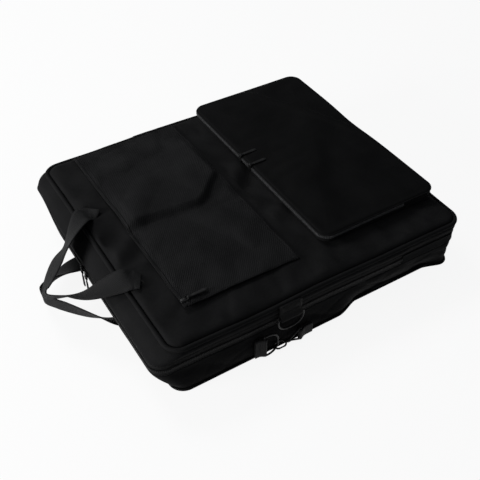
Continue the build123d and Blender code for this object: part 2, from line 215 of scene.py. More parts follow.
def tube(name, points, radius, material, body, sides=8, squeeze=None):
    """Closed round tube along points; squeeze(i) scales the radius."""
    verts = []
    count = len(points)
    for i, p in enumerate(points):
        along = (points[(i + 1) % count] - points[i - 1]).normalized()
        across, other = square_to(along, 0.01)
        r = radius * (squeeze(i) if squeeze else 1.0)
        for k in range(sides):
            a = 2 * math.pi * k / sides
            verts.append(p + (across * math.cos(a) + other * math.sin(a)) * r)
    faces = grid_faces(count, sides, wrap_columns=True, wrap_rows=True)
    return make_object(name, verts, faces, material, body)


def spaced(points, pitch, closed=False):
    """Places a pitch apart along a path: index of the span, point and direction."""
    travelled, due = 0.0, 0.0
    ends = points[1:] + points[:1] if closed else points[1:]
    for i, (p, q) in enumerate(zip(points, ends)):
        step = (q - p).length
        while step > 0 and due < travelled + step:
            yield i, p.lerp(q, (due - travelled) / step), (q - p).normalized()
            due += pitch
        travelled += step


# ---- camera, light, floor
EYE = (-0.5174, -0.8278, 0.9157)
LENS = 57.05
LOOK_DOWN, TURNED = 43.6, 31.5          # degrees below level, and clockwise from +Y
SKY = (0.9, 0.94, 1.0, 1)
SKY_STRENGTH = 0.28
FLOOR_TONE = (0.62, 0.62, 0.62, 1)
FLOOR_KEEPS = 0.1                       # share of the floor's own shade that the camera sees
LAMPS = (("side", (-2.3, 0.1, 0.6), (0, 0, 0.05), 0.9, 78),
         ("behind", (-0.4, 1.5, 1.9), (0, 0, 0), 0.8, 32))


def make_camera():
    """The eye of the reference view: near-left of the case, above it."""
    data = bpy.data.cameras.new("camera")
    data.sensor_width = 36.0
    data.lens = LENS
    camera = bpy.data.objects.new("camera", data)
    camera.location = EYE
    camera.rotation_euler = (math.radians(90 - LOOK_DOWN), 0, math.radians(-TURNED))
    bpy.context.scene.collection.objects.link(camera)
    bpy.context.scene.camera = camera


def area_light(name, place, target, width, energy):
    """Soft square lamp that looks at a target."""
    data = bpy.data.lights.new(name, "AREA")
    data.shape = "SQUARE"
    data.size = width
    data.energy = energy
    lamp = bpy.data.objects.new(name, data)
    lamp.location = place
    aim = Vector(target) - Vector(place)
    lamp.rotation_euler = aim.to_track_quat("-Z", "Y").to_euler()
    bpy.context.scene.collection.objects.link(lamp)


def make_stage():
    """Pale floor, plain world and soft lamps; the camera and reflections see white."""
    world = bpy.data.worlds.new("world")
    bpy.context.scene.world = world
    world.use_nodes = True
    nodes, links = world.node_tree.nodes, world.node_tree.links
    nodes.clear()
    sky, white = nodes.new("ShaderNodeBackground"), nodes.new("ShaderNodeBackground")
    sky.inputs["Color"].default_value = SKY
    sky.inputs["Strength"].default_value = SKY_STRENGTH
    white.inputs["Color"].default_value = (1, 1, 1, 1)
    camera_ray = nodes.new("ShaderNodeLightPath").outputs["Is Camera Ray"]
    mix_shaders(nodes, links, camera_ray, sky, white, nodes.new("ShaderNodeOutputWorld"))
    it = Finish("floor", 0.5)
    it.shader.inputs["Base Color"].default_value = FLOOR_TONE
    it.shader.inputs["Roughness"].default_value = 0.8
    path = it.nodes.new("ShaderNodeLightPath").outputs
    seen = it.maths("MAXIMUM", path["Is Camera Ray"], path["Is Glossy Ray"])
    seen = it.maths("MAXIMUM", seen, path["Is Transmission Ray"])
    seen = it.maths("MULTIPLY", seen, 1 - FLOOR_KEEPS)
    white = it.nodes.new("ShaderNodeEmission")
    white.inputs["Strength"].default_value = 1.0
    mix_shaders(it.nodes, it.links, seen, it.shader, white, it.nodes["Material Output"])
    half = 6.0
    verts = [(-half, -half, 0), (half, -half, 0), (half, half, 0), (-half, half, 0)]
    make_object("floor", verts, [(0, 1, 2, 3)], it.material, None)
    for lamp in LAMPS:
        area_light(*lamp)
    bpy.context.scene.view_settings.view_transform = "Standard"


def mix_shaders(nodes, links, factor, first, second, output):
    """Sends a mix of two shaders to an output's surface."""
    mix = nodes.new("ShaderNodeMixShader")
    links.new(factor, mix.inputs[0])
    links.new(first.outputs[0], mix.inputs[1])
    links.new(second.outputs[0], mix.inputs[2])
    links.new(mix.outputs[0], output.inputs["Surface"])


# ---- materials
BLUE_CAST = 1.03                        # the cloth's slightly cool cast
DYE_PATCH = 50 * MM
TWILL_ANGLE = math.radians(38)


class Finish:
    """A new material's nodes, with short ways to add those that every finish here has."""

    def __init__(self, name, specular, metallic=0.0):
        self.material = bpy.data.materials.new(name)
        self.material.use_nodes = True
        self.nodes = self.material.node_tree.nodes
        self.links = self.material.node_tree.links
        self.shader = self.nodes["Principled BSDF"]
        self.shader.inputs["Specular IOR Level"].default_value = specular
        self.shader.inputs["Metallic"].default_value = metallic
        self.place = None

    def maths(self, operation, a, b):
        """One maths node on two values, each a socket or a number."""
        node = self.nodes.new("ShaderNodeMath")
        node.operation = operation
        for slot, value in enumerate((a, b)):
            if isinstance(value, (int, float)):
                node.inputs[slot].default_value = value
            else:
                self.links.new(value, node.inputs[slot])
        return node.outputs[0]

    def total(self, first, *terms):
        """The first value plus each further (value, weight)."""
        for value, weight in terms:
            first = self.maths("ADD", first, self.maths("MULTIPLY", value, weight))
        return first

    def textured(self, kind, place=None, **inputs):
        """A texture node with the inputs given, spaces in their names written as _."""
        node = self.nodes.new(kind)
        for name, value in inputs.items():
            node.inputs[name.replace("_", " ")].default_value = value
        if self.place is None:
            self.place = self.nodes.new("ShaderNodeTexCoord").outputs["Object"]
        self.links.new(self.place if place is None else place, node.inputs["Vector"])
        return node

    def noise(self, scale, detail):
        """Soft blotches, scale of them to the metre."""
        return self.textured("ShaderNodeTexNoise", Scale=scale, Detail=detail).outputs["Fac"]

    def bands(self, axis, pitch, wander=0.0, place=None):
        """Bands across one axis, one per pitch, that wander as real threads do."""
        wave = self.textured("ShaderNodeTexWave", place, Scale=2 * math.pi / (20 * pitch),
                             Distortion=wander, Detail=1.0, Detail_Scale=0.6)
        wave.bands_direction = axis
        return wave.outputs["Fac"]

    def done(self, tone, stops, shades, gloss, rough_range, height, strength, depth):
        """Colour from tone, roughness from gloss and relief from height."""
        ramp = self.nodes.new("ShaderNodeValToRGB")
        for element, stop, shade in zip(ramp.color_ramp.elements, stops, shades):
            element.position = stop
            element.color = (shade, shade, shade * BLUE_CAST, 1)
        spread = self.nodes.new("ShaderNodeMapRange")
        spread.inputs["To Min"].default_value = rough_range[0]
        spread.inputs["To Max"].default_value = rough_range[1]
        raised = self.nodes.new("ShaderNodeBump")
        raised.inputs["Strength"].default_value = strength
        raised.inputs["Distance"].default_value = depth
        for value, node, entry, target in ((tone, ramp, 0, "Base Color"),
                                           (gloss, spread, "Value", "Roughness"),
                                           (height, raised, "Height", "Normal")):
            self.links.new(value, node.inputs[entry])
            self.links.new(node.outputs[0], self.shader.inputs[target])
        return self.material


def woven(name, dark, light, pitch, depth, rough_range=(0.7, 0.9), twill=False,
          specular=0.03, wander=0.8, weave=0.1):
    """Woven cloth: threads in relief, uneven dye and faint scuffs."""
    it = Finish(name, specular)
    x, y, z = [it.bands(axis, pitch, wander) for axis in "XYZ"]
    threads = it.maths("MULTIPLY", x, y)
    if twill:
        turned = it.textured("ShaderNodeMapping", Rotation=(0, 0, TWILL_ANGLE)).outputs[0]
        rib = it.bands("X", pitch * 1.6, place=turned)
        threads = it.maths("MULTIPLY", it.maths("ADD", threads, rib), 0.6)
    else:
        for a in (x, y):
            threads = it.maths("ADD", threads, it.maths("MULTIPLY", a, z))
        threads = it.maths("MULTIPLY", threads, 0.5)
    dye = it.noise(1 / DYE_PATCH, 6.0)
    fibre = it.noise(0.6 / pitch, 3.0)
    tone = it.total(it.maths("MULTIPLY", threads, weave), (dye, 0.45), (fibre, 0.6 - weave))
    relief = it.total(it.maths("MULTIPLY", threads, 2.2 * weave), (fibre, 0.6))
    return it.done(tone, (0.15, 0.9), (dark, light), fibre, rough_range, relief, 0.75, depth)


def ribbed(name, dark, light, pitch, depth, axis, specular=0.06):
    """Webbing or tape: ribs across it in relief, with fine fibres along."""
    it = Finish(name, specular)
    rib = it.bands(axis, pitch)
    cross = it.bands("Z" if axis != "Z" else "X", pitch * 0.7)
    fibre = it.noise(1.2 / pitch, 4.0)
    height = it.total(rib, (cross, 0.4), (fibre, 0.5))
    tone = it.maths("MULTIPLY", height, 0.5)
    return it.done(tone, (0.1, 0.95), (dark, light), fibre, (0.5, 0.75), height, 0.8, depth)


def coated(name, dark, light, metallic, rough_range, scale, depth, specular):
    """Painted metal or moulded plastic: fine grain, worn lighter in places."""
    it = Finish(name, specular, metallic)
    grain = it.noise(1 / scale, 5.0)
    return it.done(grain, (0.35, 0.8), (dark, light), grain, rough_range, grain, 0.4, depth)


PANEL_CLOTH = woven("panel_cloth", 0.002, 0.0098, 0.9 * MM, 0.3 * MM)
# Darker copy of the panel cloth: painted shade for the lower gusset, the box pocket's wall, the
# flat pocket's side strips and the lid's hinge.
SHADED_PANEL_CLOTH = woven("gusset_cloth", 0.0014, 0.007, 0.9 * MM, 0.3 * MM)
POCKET_CLOTH = woven("pocket_cloth", 0.0022, 0.0145, 1.9 * MM, 0.7 * MM,
                     twill=True, wander=0.4, weave=0.45)
LID_CLOTH = woven("lid_cloth", 0.0014, 0.0052, 0.7 * MM, 0.12 * MM,
                  rough_range=(0.55, 0.75), specular=0.02)
LINING = woven("lining_cloth", 0.004, 0.010, 0.6 * MM, 0.1 * MM)
PIPING_CLOTH = woven("piping_cloth", 0.002, 0.008, 0.6 * MM, 0.2 * MM)
TAPE = ribbed("zip_tape", 0.002, 0.007, 0.8 * MM, 0.2 * MM, "Z")
WEB_Y = ribbed("webbing", 0.0025, 0.0105, 1.7 * MM, 0.5 * MM, "Y", specular=0.08)
# Darker copy of the webbing, ribbed the other way: painted shade on the front tabs, which lie
# against the case's walls.
SHADED_WEB_X = ribbed("shaded_webbing_along_y", 0.001, 0.0055, 1.7 * MM, 0.5 * MM, "X")
ELASTIC = ribbed("elastic", 0.008, 0.02, 1.5 * MM, 0.4 * MM, "Y")
THREAD = ribbed("thread", 0.003, 0.011, 0.4 * MM, 0.1 * MM, "X")
# Lighter than the main zip's teeth: a painted highlight, standing in for the bright line that
# light draws along the box pocket's zip.
TEETH = coated("zip_teeth", 0.03, 0.06, 0.0, (0.35, 0.55), 3 * MM, 0.05 * MM,
               specular=0.25)
DARK_TEETH = coated("main_zip_teeth", 0.004, 0.011, 0.0, (0.4, 0.6), 3 * MM,
                    0.05 * MM, specular=0.1)
METAL = coated("black_metal", 0.003, 0.009, 0.1, (0.2, 0.36), 6 * MM, 0.05 * MM,
               specular=0.11)
RUBBER = coated("moulded_pull", 0.002, 0.007, 0.0, (0.45, 0.65), 1.5 * MM,
                0.1 * MM, specular=0.12)


# ---- slack of the cloth
SLACK_FRAMES = 16
CLOTH_SETTINGS = {"quality": 6, "mass": 0.05, "tension_stiffness": 12,
                  "compression_stiffness": 12, "shear_stiffness": 4,
                  "bending_stiffness": 1.5, "vertex_group_mass": "held"}
LID_PLEATS = (0.37, 0.44, 0.52, 0.66)   # along the zip, from the near end to the far one


def simulate_slack(low, high, spacing, held, start, growth, most):
    """Height of slack cloth over a node's outline, from a short cloth simulation.

    The cloth is cut growth larger than that, is held where held(x, y) is true and
    starts at start(x, y); most is how far it may move. Returns height(x, y)."""
    x0, x1, y0, y1 = low.x, high.x, low.y, high.y
    nx, ny = int((x1 - x0) / spacing), int((y1 - y0) / spacing)
    places = [(x0 + (x1 - x0) * i / nx, y0 + (y1 - y0) * j / ny)
              for i in range(nx + 1) for j in range(ny + 1)]
    verts = [(x, y, start(x, y)) for x, y in places]
    heights = [v[2] for v in verts]
    mesh = bpy.data.meshes.new("slack")
    mesh.from_pydata(verts, [], grid_faces(nx + 1, ny + 1))
    cloth = bpy.data.objects.new("slack", mesh)
    bpy.context.scene.collection.objects.link(cloth)
    group = cloth.vertex_groups.new(name="held")
    group.add([k for k, (x, y) in enumerate(places) if held(x, y)], 1.0, "REPLACE")
    modifier = cloth.modifiers.new("cloth", "CLOTH")
    for key, value in CLOTH_SETTINGS.items():
        setattr(modifier.settings, key, value)
    modifier.settings.shrink_min = -growth
    modifier.settings.effector_weights.gravity = 0
    modifier.collision_settings.use_collision = False
    modifier.collision_settings.use_self_collision = False
    scene = bpy.context.scene
    for frame_number in range(1, SLACK_FRAMES + 1):
        scene.frame_set(frame_number)
    moved = cloth.evaluated_get(bpy.context.evaluated_depsgraph_get()).to_mesh()
    heights = [start(x, y) + min(max(v.co.z - start(x, y), -most), most)
               for v, (x, y) in zip(moved.vertices, places)]
    scene.frame_set(1)
    bpy.data.objects.remove(cloth)
    bpy.data.meshes.remove(mesh)
    for _ in range(2):
        heights = soften(heights, nx, ny)

    def height(x, y):
        i = min(max((x - x0) / (x1 - x0) * nx, 0), nx - 1e-6)
        j = min(max((y - y0) / (y1 - y0) * ny, 0), ny - 1e-6)
        a, b = int(i), int(j)
        s, t = i - a, j - b
        k = a * (ny + 1) + b
        near = heights[k] * (1 - t) + heights[k + 1] * t
        far = heights[k + ny + 1] * (1 - t) + heights[k + ny + 2] * t
        return near * (1 - s) + far * s
    return height


def soften(heights, nx, ny):
    """Grid of heights with each inner point averaged with its neighbours."""
    out = list(heights)
    row = ny + 1
    for i in range(1, nx):
        for j in range(1, ny):
            k = i * row + j
            beside = heights[k - 1] + heights[k + 1] + heights[k - row] + heights[k + row]
            out[k] = 0.4 * heights[k] + 0.15 * beside
    return out


def in_rectangle(x, y, low, high, margin):
    """Whether a place is within a box's outline, grown by margin."""
    return (low.x - margin < x < high.x + margin) and (low.y - margin < y < high.y + margin)


def front_edge(x, y):
    """Distance in from the front panel's edge, never less than 0."""
    return max(min(x - front_low.x, front_high.x - x, y - front_low.y, front_high.y - y), 0)


def front_held(x, y):
    """The front panel is held at its edge, along the pockets and under them."""
    return (front_edge(x, y) < 7 * MM or in_rectangle(x, y, pocket_low, pocket_high, -6 * MM)
            or in_rectangle(x, y, box_low, box_high, 0))


def front_start(x, y):
    """Where the front's cloth starts from: pulled by the handles and the fold."""
    if front_held(x, y):
        return 0.0
    strip = 1 - smooth(0.215, 0.22, -x) if x > 0 else smooth(0.212, 0.222, -x)
    pulled = bump(y, -0.028 + 0.3 * (x + 0.24), 0.018) - bump(y, 0.012, 0.014)
    pulled += bump(y, -0.075, 0.016) * 0.6 - bump(y, -0.055, 0.012) * 0.5
    between = smooth(-0.02, 0.0, x) * (1 - smooth(0.03, 0.05, x))
    ripple = math.sin((y + 0.8 * x) / (9 * MM)) * bump(y, 0.02, 0.09)
    near = bump(x, 0.02, 0.03) * bump(y, -0.215, 0.02)
    return (strip * pulled * 8.5 + between * ripple * 3.2 + near * 2.0
            + rough(x, y, 0, 0.05, 2.4) * 1.2) * MM


def pocket_held(x, y):
    """The flat pocket is sewn on three sides and drawn tight along its zip."""
    return (x < pocket_low.x + 3 * MM or x > pocket_high.x - 5 * MM
            or y < pocket_low.y + 3 * MM or y > pocket_high.y - 4 * MM)


def pocket_start(x, y):
    """The flat pocket's cloth starts a little uneven, slack towards its far end."""
    u, v, free = pocket_inside(x, y)
    drag = bump(v, 0.80 + 0.12 * u, 0.04) * 1.5 - bump(v, 0.72 + 0.1 * u, 0.03) * 1.0
    return free * (drag + rough(x, y, 0, 0.05, 12.4) * 1.4) * MM


def lid_held(x, y):
    """The lid is held round its edge by the zip and its piping."""
    return not in_rectangle(x, y, box_low, box_high, -7 * MM)


def lid_start(x, y):
    """The lid's cloth starts with a long diagonal drag line from the far corner."""
    if lid_held(x, y):
        return 0.0
    u = (x - box_low.x) / (box_high.x - box_low.x)
    v = (y - box_low.y) / (box_high.y - box_low.y)
    drag = bump(u + v, 1.46, 0.035) * smooth(0.38, 0.55, u) * 3.2
    lines = sum(bump(v - 0.02 * u, at, 0.011) for at in LID_PLEATS)
    lines *= smooth(0.03, 0.1, u) * (1 - smooth(0.3, 0.5, u))
    return (drag - lines * 1.6 + rough(x, y, 0, 0.08, 5.5) * 0.8) * MM


# ---- case walls
NORMALS = [n for _, n in outline_points(BACK)]   # the same for every outline
TAPE_THICK = 1.2 * MM
TOOTH_HEIGHT = 2.4 * MM
TOOTH = ((-1, -1), (1, -0.6), (1, 0.6), (-1, 1))    # (out, along) of its corners
MAIN_TOOTH = (2.6 * MM, 0.858 * MM, 0.525 * MM, 0.9 * MM)
BOX_TOOTH = (2.4 * MM, 0.864 * MM, 1.0 * MM, 1.0 * MM)
STITCH, STITCH_GAP, THREAD_RADIUS = 3.0 * MM, 1.4 * MM, 0.28 * MM


def ring_wall(name, low_outline, z0, high_outline, z1, rows, body, material, dent,
              thickness=CLOTH, grow=0.0, seat=settle, stop_x=None):
    """Cloth wall round two outlines and heights; it stops short of stop_x when given."""
    ring = [(a, b, n) for (a, n), (b, _) in zip(outline_points(low_outline, grow),
                                                outline_points(high_outline, grow))]
    closed = stop_x is None
    if not closed:
        first = next(i for i, (p, _, _) in enumerate(ring) if p.x <= stop_x and p.y > 0)
        ring = [part for part in ring[first:] + ring[:first] if part[0].x <= stop_x]
    outer, inner = [], []
    for r in range(rows + 1):
        t = r / rows
        for a, b, n in ring:
            p = a.lerp(b, t)
            p.z = z0 + (z1 - z0) * t
            outer.append(seat(p) + n * dent(p, t))
            inner.append(outer[-1] - n * thickness)
    count, levels = len(ring), 2 * (rows + 1)
    for r in range(rows, -1, -1):
        outer.extend(inner[r * count:(r + 1) * count])
    faces = grid_faces(levels, count, wrap_columns=closed, wrap_rows=True)
    if not closed:
        faces.append(tuple(r * count for r in range(levels)))
        faces.append(tuple(r * count + count - 1 for r in range(levels - 1, -1, -1)))
    return make_object(name, outer, faces, material, body)


def gusset_dent(p, t):
    """Folds of a slack gusset, held at both of its seams."""
    hold = math.sin(math.pi * min(max(t, 0), 1)) ** 0.7
    soft = rough(p.x, p.y, p.z, 0.075, 1.7) * 3.0 * MM
    diagonal = crease(p.x + p.z * 1.2, p.y - p.z * 0.8, p.z * 0.6, 0.085, 4.4)
    fine = crease(p.x - p.z, p.y + p.z * 0.7, p.z, 0.04, 9.1)
    full = 1.2 + 1.8 * smooth(0.1, -0.2, p.x)
    return hold * (full * MM + soft - diagonal * 2.8 * MM - fine * 1.2 * MM)


ROLL_FULLNESS = 4.6 * MM


def roll_dent(p, t):
    """Full roll of cloth between the zip and the front seam."""
    full = math.sin(math.pi * min(max(t, 0), 1) ** 1.35)
    slack = rough(p.x, p.y, 0.1, 0.09, 6.9) * 1.3 * MM + rough(p.x, p.y, 0.1, 0.03, 3.9) * 0.5 * MM
    pinch = crease(p.x, p.y, p.z * 0.4, 0.07, 8.8) * 1.6 * MM
    return full * (ROLL_FULLNESS + slack - pinch)


def band_dent(p, t):
    """Slight ripple of the flat zip tape between its stitches."""
    return rough(p.x, p.y, p.z, 0.03, 2.2) * 0.35 * MM - 0.3 * MM


def rim(outline, z, grow=0.0, seat=settle):
    """Seated points round an outline at one height."""
    return [seat(Vector((p.x, p.y, z))) for p, _ in outline_points(outline, grow)]


def add_block(verts, faces, corners):
    """Adds a closed block from the four corners of one end and the four of the other."""
    start = len(verts)
    verts.extend(corners)
    for a, b in ((0, 1), (1, 2), (2, 3), (3, 0)):
        faces.append((start + a, start + b, start + 4 + b, start + 4 + a))
    faces.append((start + 3, start + 2, start + 1, start))
    faces.append((start + 4, start + 5, start + 6, start + 7))


def teeth_row(name, points, stop_x, body, tooth, material, seat=Vector):
    """Coil teeth along one half of a zip, for all points short of stop_x.

    tooth is their pitch, half length, middle and half depth out of the tape."""
    pitch, half, middle, deep = tooth
    verts, faces = [], []
    for i, at, along in spaced(points, pitch, closed=True):
        if at.x <= stop_x:
            n = NORMALS[i]
            centre = seat(at) + n * middle
            add_block(verts, faces, [centre + along * half * sa + n * deep * sn
                                     + Vector((0, 0, sz * TOOTH_HEIGHT / 2))
                                     for sz in (-1, 1) for sn, sa in TOOTH])
    return make_object(name, verts, faces, material, body, flat=True)


def stitch_row(name, points, body, length=STITCH, gap=STITCH_GAP):
    """Sewn stitches along a path, each a short raised thread."""
    verts, faces = [], []
    for _, at, along in spaced(points, length + gap):
        across, other = square_to(along, 0.1)
        start = len(verts)
        for u, r in ((-0.5, 0.35), (-0.3, 1.0), (0.3, 1.0), (0.5, 0.35)):
            for m in range(5):
                a = 2 * math.pi * m / 5
                verts.append(at + along * u * length + (across * math.cos(a)
                             + other * math.sin(a)) * THREAD_RADIUS * r)
        faces += grid_faces(4, 5, wrap_columns=True, start=start)
        faces.append(tuple(start + m for m in range(4, -1, -1)))
        faces.append(tuple(start + 15 + m for m in range(5)))
    return make_object(name, verts, faces, THREAD, body)


def make_walls():
    """Gussets, zip tapes, teeth and seam piping of both halves."""
    # The lower gusset takes the darker copy of the panel cloth: painted shade.
    gusset = ring_wall("lower_gusset_cloth", BACK, back_high.z, ZIP, zip_low.z, 22, "case",
                       SHADED_PANEL_CLOTH, gusset_dent)
    dressed(gusset, "panel_fabric", "lower_gusset")
    gusset = ring_wall("upper_gusset_cloth", ZIP, cover_zip_high.z, FRONT,
                       front_low.z + 2 * MM, 14, "cover", PANEL_CLOTH, roll_dent)
    dressed(gusset, "panel_fabric", "upper_gusset")
    in_from_edge, seam_in = 1.0 * MM, 1.6 * MM
    for half, body, low, high, teeth_z, seam_z in (
            ("lower", "case", zip_low.z, zip_high.z, zip_high.z - in_from_edge,
             zip_low.z + seam_in),
            ("upper", "cover", cover_zip_low.z, cover_zip_high.z,
             cover_zip_low.z + in_from_edge, cover_zip_high.z - seam_in)):
        tape = ring_wall(f"{half}_zip_tape", ZIP, low, ZIP, high, 6, body, TAPE, band_dent,
                         thickness=TAPE_THICK)
        dressed(tape, "zip_tape", f"{half}_zip_band")
        row = teeth_row(f"{half}_zip_teeth", rim(ZIP, teeth_z, seat=Vector), zip_end_x, body,
                        MAIN_TOOTH, DARK_TEETH, seat=settle)
        dressed(row, "zip_chain", f"{half}_zip_chain")
        dressed(stitch_row(f"{half}_band_stitching", rim(ZIP, seam_z, 0.1 * MM), body),
                "piping")
    piping = tube("back_seam_piping", rim(BACK, 2.1 * MM, 1.6 * MM), 1.9 * MM, PIPING_CLOTH,
                  "case")
    dressed(piping, "piping", "back_piping")
    welt = rim(FRONT, front_low.z + 2.2 * MM, 2.0 * MM)
    piping = tube("front_seam_piping", welt, 3.6 * MM, PANEL_CLOTH, "cover", sides=12,
                  squeeze=lambda i: 1 + 0.12 * rough(welt[i].x, welt[i].y, 0, 0.04, 1.1))
    dressed(piping, "piping", "front_piping")


# ---- padded panels
def inset(outline, d, least):
    """The outline drawn in by d, with its corners never sharper than least."""
    left, right, low, high, radius = outline
    return (left + d, right - d, low + d, high - d, max(radius - d, least))


def padded_panel(name, outline, rows, inner_steps, top_height, body, material,
                 seat=settle, least=8 * MM):
    """Closed panel: rows is [(inset, height)] up its edge, then in to the centre.

    top_height(x, y, d) gives the height of the top at distance d from the edge, and is
    used where a row's own height is None."""
    rings = [[seat(Vector((p.x, p.y, top_height(p.x, p.y, d) if z is None else z)))
              for p, _ in outline_points(inset(outline, d, least))] for d, z in rows]
    left, right, low, high, _ = outline
    edge = rows[-1][0]
    last = outline_points(inset(outline, edge, least))
    centre = Vector(((left + right) / 2, (low + high) / 2, 0))
    reach = min(right - left, high - low) / 2 - edge
    for k in range(1, inner_steps):
        s = 1 - k / inner_steps
        row = [centre + (p - centre) * s for p, _ in last]
        for q in row:
            q.z = top_height(q.x, q.y, edge + (1 - s) * reach)
        rings.append([seat(q) for q in row])
    centre.z = top_height(centre.x, centre.y, edge + reach)
    verts = sum(rings, []) + [seat(centre)]
    count, tip = len(last), len(verts) - 1
    base = tip - count
    faces = grid_faces(len(rings), count, wrap_columns=True)
    faces += [(base + c, base + (c + 1) % count, tip) for c in range(count)]
    faces.append(tuple(range(count - 1, -1, -1)))
    return make_object(name, verts, faces, material, body)


FRONT_SEAM = front_low.z + 2.5 * MM
ROLL = 13 * MM
FRONT_CROWN = 4.0 * MM
FRONT_ROWS = (2.2, 2.8, 3.8, 5.2, 7, 9.5, 12.5, 16, 20, 25, 31, 38, 46)   # mm in from the edge
LID_ROWS = (0.6, 1.2, 2.0, 3.0, 4.5, 6.5, 9, 13, 18, 25)


def front_height(x, y, d):
    """Height of the padded front: rolled edge, low crown, slack undulation."""
    roll = math.sqrt(max(0.0, 1 - (1 - min(max(d - 2 * MM, 0) / ROLL, 1)) ** 2))
    z = FRONT_SEAM + (front_high.z - FRONT_SEAM) * roll
    z += FRONT_CROWN * smooth(0, 0.10, d)
    z += rough(x, y, 0, 0.11, 6.6) * 1.5 * MM * smooth(0, 40 * MM, d)
    pucker = crease(x, y, 0, 0.055, 2.9)
    z -= pucker * 1.0 * MM * smooth(2 * MM, 14 * MM, d) * (1 - smooth(40 * MM, 90 * MM, d))
    return z + front_slack(x, y) * smooth(3 * MM, 12 * MM, d)


def make_panels():
    """Padded front panel and flat back panel."""
    low = front_low.z + 0.4 * MM
    rows = [(9 * MM, low), (3 * MM, low), (1.8 * MM, low + 1.0 * MM), (2.0 * MM, FRONT_SEAM)]
    rows += [(d * MM, None) for d in FRONT_ROWS]
    front = padded_panel("front_panel_cloth", FRONT, rows, 26, front_height, "cover",
                         PANEL_CLOTH)
    dressed(front, "panel_fabric", "front_panel")
    rows = [(12 * MM, 0.35 * MM), (3 * MM, 0.2 * MM), (0.8 * MM, 0.9 * MM), (0.0, 2 * MM),
            (0.8 * MM, 3.4 * MM), (3 * MM, None), (14 * MM, None)]
    back = padded_panel("back_panel_cloth", BACK, rows, 8, lambda x, y, d: back_high.z, "case",
                        PANEL_CLOTH)
    dressed(back, "panel_fabric", "back_panel")


# ---- flat pocket
def pocket_inside(x, y):
    """Place on the flat pocket, 0 to 1 each way, and how free its cloth is there."""
    u = (x - pocket_low.x) / (pocket_high.x - pocket_low.x)
    v = (y - pocket_low.y) / (pocket_high.y - pocket_low.y)
    free = smooth(0, 0.10, v) * smooth(0, 0.06, 1 - v) * smooth(0, 0.07, 1 - u)
    return u, v, free * (0.65 + 0.35 * smooth(0, 0.1, u))


FOLD_HEIGHT = 10.5 * MM
STRIP_STEPS = 60
STRIP_TUCK = (5.0 * MM, 7.5 * MM, 1.6 * MM)         # at the strip's foot, middle and top


def pocket_fold(x, y):
    """The broad S-shaped fold that crosses the flat pocket: a crest with a steep near side."""
    u, v, free = pocket_inside(x, y)
    s = v - (0.455 + 0.12 * smooth(0.62, 1.05, u) + 0.008 * math.sin(8 * u))
    crest = smooth(-0.016, 0.021, s) * (1 - smooth(0.05, 0.40, s) ** 0.8)
    swell = smooth(-0.40, -0.12, s) * (1 - smooth(-0.12, -0.01, s)) * 0.22
    spur = bump(v, 0.445 - 0.04 * u, 0.015) * smooth(0.65, 0.8, u) * 0.2
    return free * (crest + swell - spur)


def pocket_height(x, y):
    """Top of the flat pocket over the padded front, lifted where it is open."""
    base = front_height(x, y, front_edge(x, y))
    u, v, _ = pocket_inside(x, y)
    near = 1 - smooth(0.0, 0.14, v)
    mouth = 1 - smooth(0.0, 0.35, u)
    lift = 1.4 * MM + 4.2 * MM * near * (1 - 0.8 * smooth(0.55, 1.0, u)) + 1.2 * MM * mouth
    return base + lift + max(pocket_slack(x, y), -0.8 * MM) + pocket_fold(x, y) * FOLD_HEIGHT


def two_layers(name, rows, count, point, material, body, flip=False):
    """Closed sheet of cloth; point(row, column) gives its outer and inner place there."""
    pairs = [point(r, c) for r in range(rows + 1) for c in range(count)]
    back = len(pairs)
    faces = grid_faces(rows + 1, count)
    faces += [f[::-1] for f in grid_faces(rows + 1, count, start=back)]
    edge = list(range(count)) + [r * count + count - 1 for r in range(1, rows + 1)]
    edge += [rows * count + c for c in range(count - 2, -1, -1)]
    edge += [r * count for r in range(rows - 1, 0, -1)]
    faces += [(b, a, a + back, b + back) for a, b in zip(edge, edge[1:] + edge[:1])]
    if flip:
        faces = [f[::-1] for f in faces]
    return make_object(name, [outer for outer, _ in pairs] + [inner for _, inner in pairs],
                       faces, material, body)


def pocket_grid(name, x0, x1, y0, y1, nx, ny, height, thickness, material):
    """Closed cloth sheet over a rectangle of the cover, following a height function."""
    def point(i, j):
        x, y = x0 + (x1 - x0) * i / nx, y0 + (y1 - y0) * j / ny
        z = height(x, y)
        return settle(Vector((x, y, z))), settle(Vector((x, y, z - thickness)))
    return two_layers(name, nx, ny + 1, point, material, "cover", flip=True)


